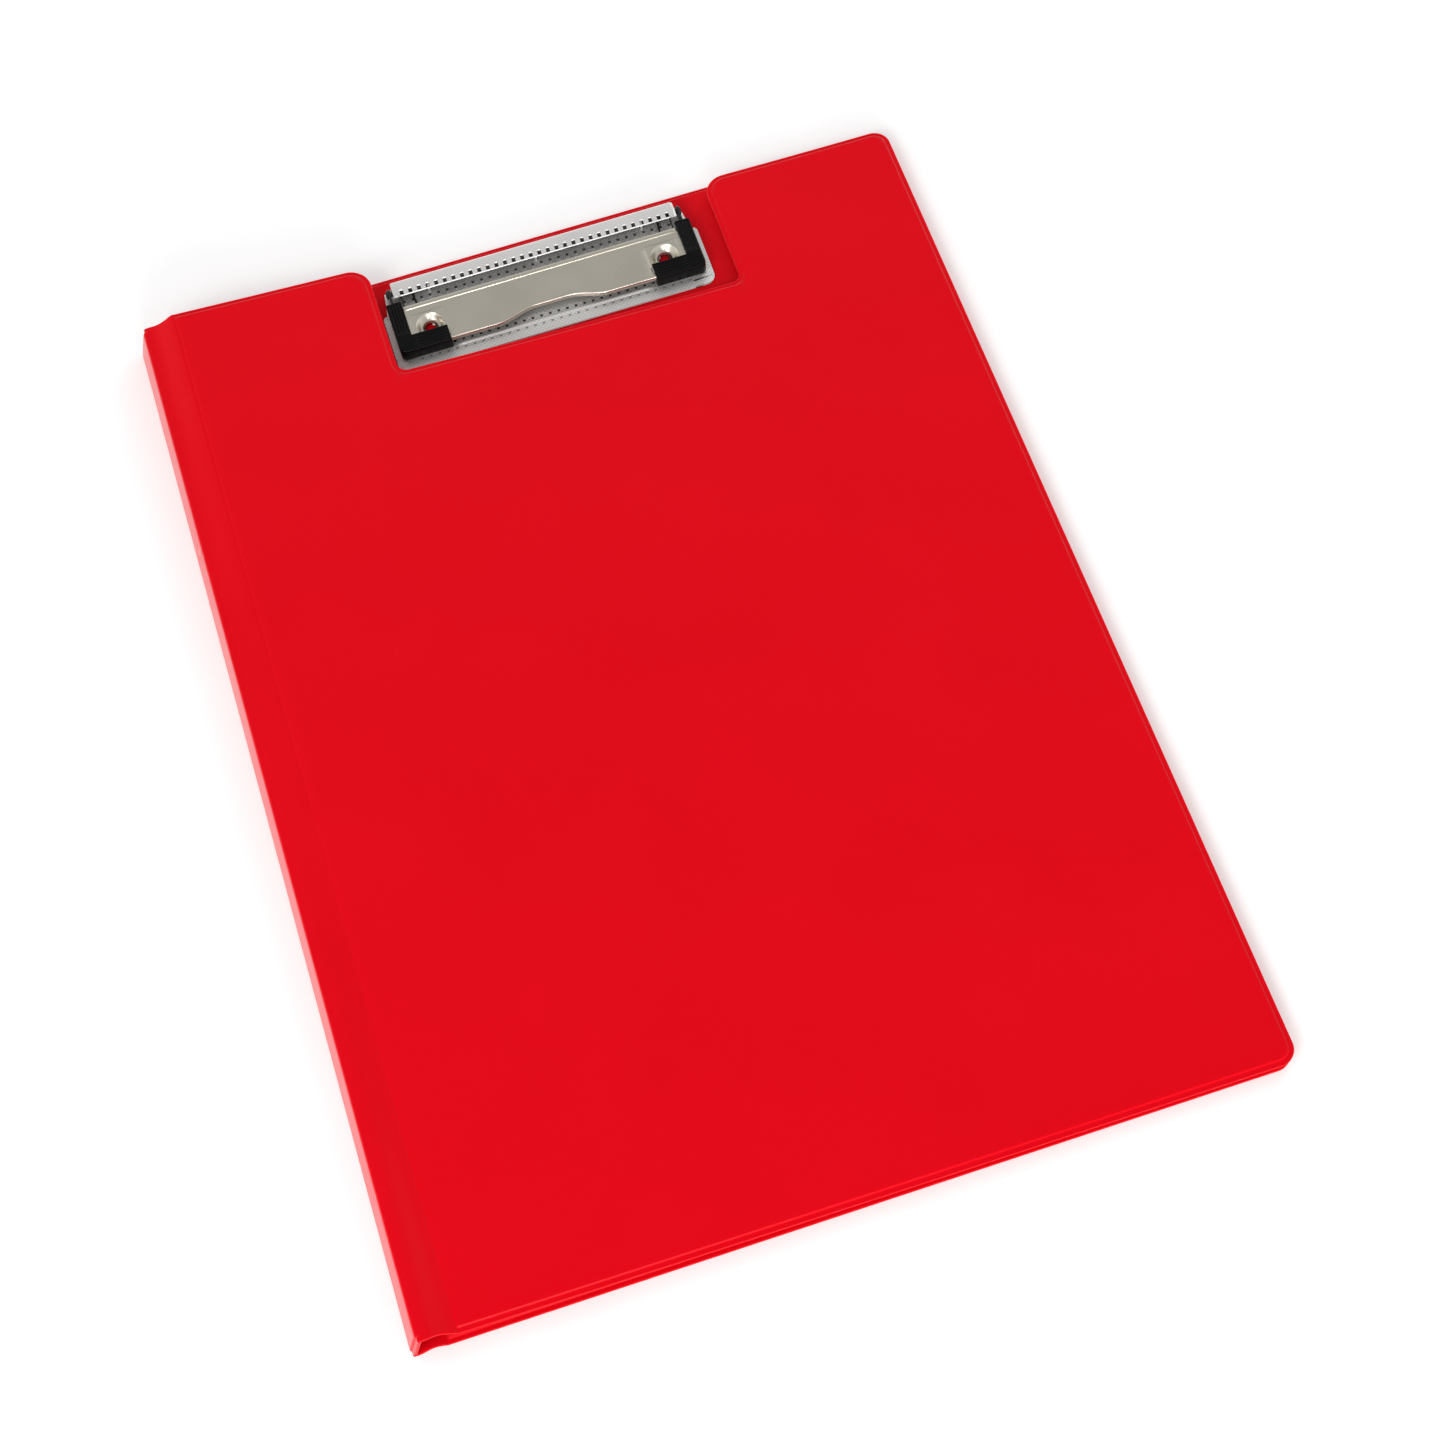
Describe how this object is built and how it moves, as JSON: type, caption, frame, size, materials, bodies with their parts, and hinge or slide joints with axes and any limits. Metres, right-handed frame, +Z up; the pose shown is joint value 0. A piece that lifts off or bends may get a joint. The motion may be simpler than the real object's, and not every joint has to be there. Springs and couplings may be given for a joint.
{
  "type": "foldover clipboard",
  "caption": "Foldover clipboard for A4 sheets: film-covered boards joined by a film spine, with a notched cover and a low sprung clip with moulded corners.",
  "frame": {"origin": "under the middle of the closed folder, on the surface that it lies on", "axes": "+Z up out of the cover, +Y towards the clip end, +X towards the free edge, with the spine along the -X side"},
  "size_m": [0.2364, 0.32, 0.0147],
  "materials": {
    "red_film": "satin embossed PVC film",
    "red_lining": "satin PVC film",
    "greyboard": "matte",
    "nickel_plate": "satin nickel plate",
    "bright_steel": "bright nickel plate",
    "dark_steel": "oiled spring steel",
    "black_plastic": "satin moulded"
  },
  "bodies": {
    "back": {"back_outer_film": "red_film", "back_stiffener": "greyboard", "back_inner_film": "red_lining", "clip_base_plate": "nickel_plate", "rivet_left": "bright_steel", "rivet_right": "bright_steel", "rivet_washer_left": "bright_steel", "rivet_washer_right": "bright_steel", "hinge_rod": "dark_steel", "torsion_spring_left": "dark_steel", "torsion_spring_right": "dark_steel"},
    "spine": {"spine_outer_film": "red_film", "spine_stiffener": "greyboard", "spine_inner_film": "red_lining"},
    "cover": {"cover_outer_film": "red_film", "cover_stiffener": "greyboard", "cover_inner_film": "red_lining"},
    "clip_lever": {"lever_plate": "nickel_plate", "corner_cap_left": "black_plastic", "corner_cap_right": "black_plastic"}
  },
  "joints": [
    {"name": "spine_fold", "type": "hinge", "parent": "back", "child": "spine", "pos_m": [-0.11742, 0, 0.0005], "axis": [0, -1, 0], "range_deg": [0, 200]},
    {"name": "cover_fold", "type": "hinge", "parent": "spine", "child": "cover", "pos_m": [-0.11457, 0, 0.01113], "axis": [0, -1, 0], "range_deg": [0, 163]},
    {"name": "clip_lift", "type": "hinge", "parent": "back", "child": "clip_lever", "pos_m": [0.0032, 0.1516, 0.00495], "axis": [-1, 0, 0], "range_deg": [0, 50], "stiffness_Nm_per_rad": 0.12, "springref_deg": -68.75}
  ]
}
